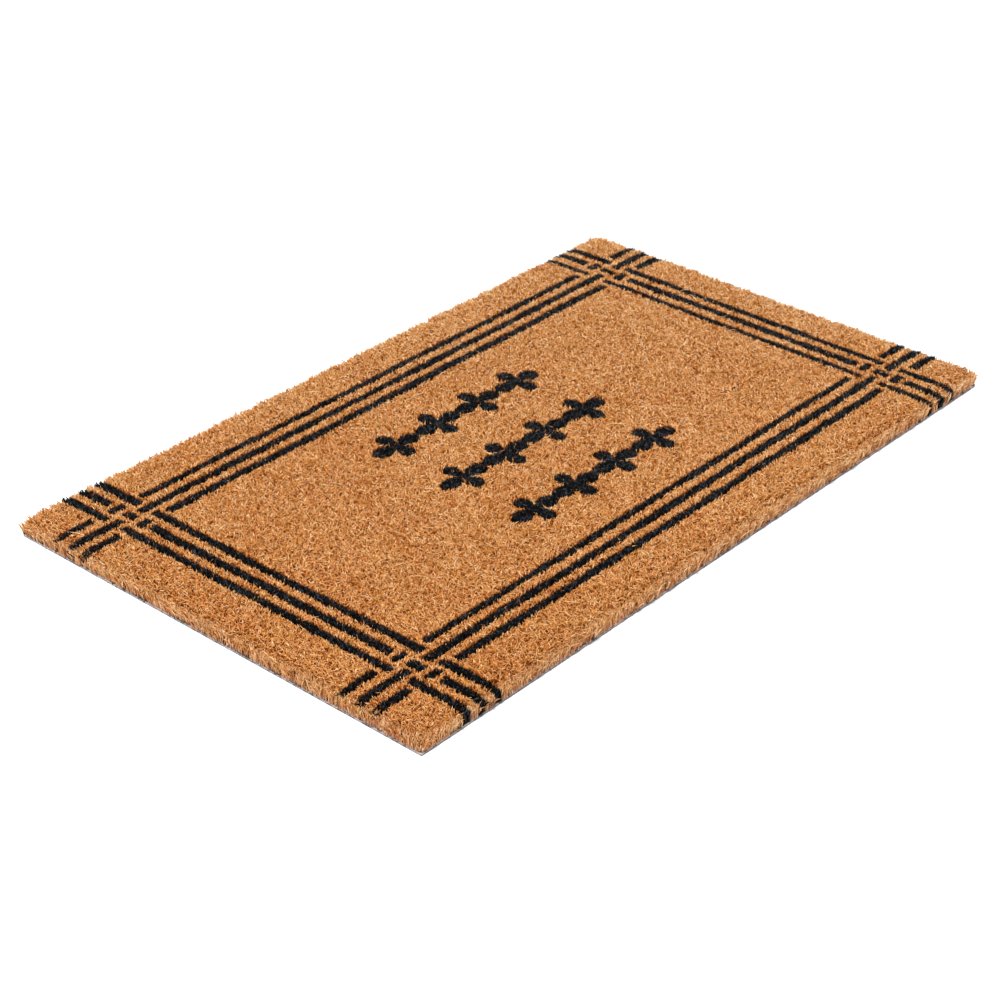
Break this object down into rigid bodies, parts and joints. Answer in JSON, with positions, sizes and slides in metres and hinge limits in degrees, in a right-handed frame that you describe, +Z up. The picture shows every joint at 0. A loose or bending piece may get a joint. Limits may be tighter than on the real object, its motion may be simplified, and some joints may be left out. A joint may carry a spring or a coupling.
{
  "type": "door mat",
  "caption": "Rectangular coir door mat: cut fibre pile on a vinyl backing, with a woven stripe border and rows of florets in black-dyed tufts.",
  "frame": {"origin": "middle of the underside, on the surface that the mat lies on", "axes": "+X along the mat's long side, +Y along its short side from the front edge to the back edge, +Z up out of the pile"},
  "size_m": [0.762, 0.458, 0.017],
  "materials": {
    "backing_vinyl": "matte",
    "coir_natural": "matte",
    "coir_black": "matte"
  },
  "bodies": {
    "root": {"back_floret_row": "coir_black", "back_inner_left_dash": "coir_black", "back_inner_left_end": "coir_black", "back_inner_right_dash": "coir_black", "back_inner_right_end": "coir_black", "back_inner_stripe": "coir_black", "back_middle_left_end": "coir_black", "back_middle_right_end": "coir_black", "back_middle_stripe": "coir_black", "back_outer_left_dash": "coir_black", "back_outer_left_end": "coir_black", "back_outer_right_dash": "coir_black", "back_outer_right_end": "coir_black", "back_outer_stripe": "coir_black", "backing": "backing_vinyl", "front_floret_row": "coir_black", "front_inner_left_dash": "coir_black", "front_inner_left_end": "coir_black", "front_inner_right_dash": "coir_black", "front_inner_right_end": "coir_black", "front_inner_stripe": "coir_black", "front_middle_left_end": "coir_black", "front_middle_right_end": "coir_black", "front_middle_stripe": "coir_black", "front_outer_left_dash": "coir_black", "front_outer_left_end": "coir_black", "front_outer_right_dash": "coir_black", "front_outer_right_end": "coir_black", "front_outer_stripe": "coir_black", "left_inner_back_end": "coir_black", "left_inner_front_end": "coir_black", "left_inner_stripe": "coir_black", "left_middle_back_dash": "coir_black", "left_middle_back_end": "coir_black", "left_middle_front_dash": "coir_black", "left_middle_front_end": "coir_black", "left_middle_stripe": "coir_black", "left_outer_back_end": "coir_black", "left_outer_front_end": "coir_black", "left_outer_stripe": "coir_black", "middle_floret_row": "coir_black", "natural_pile": "coir_natural", "right_inner_back_end": "coir_black", "right_inner_front_end": "coir_black", "right_inner_stripe": "coir_black", "right_middle_back_dash": "coir_black", "right_middle_back_end": "coir_black", "right_middle_front_dash": "coir_black", "right_middle_front_end": "coir_black", "right_middle_stripe": "coir_black", "right_outer_back_end": "coir_black", "right_outer_front_end": "coir_black", "right_outer_stripe": "coir_black"}
  },
  "joints": []
}
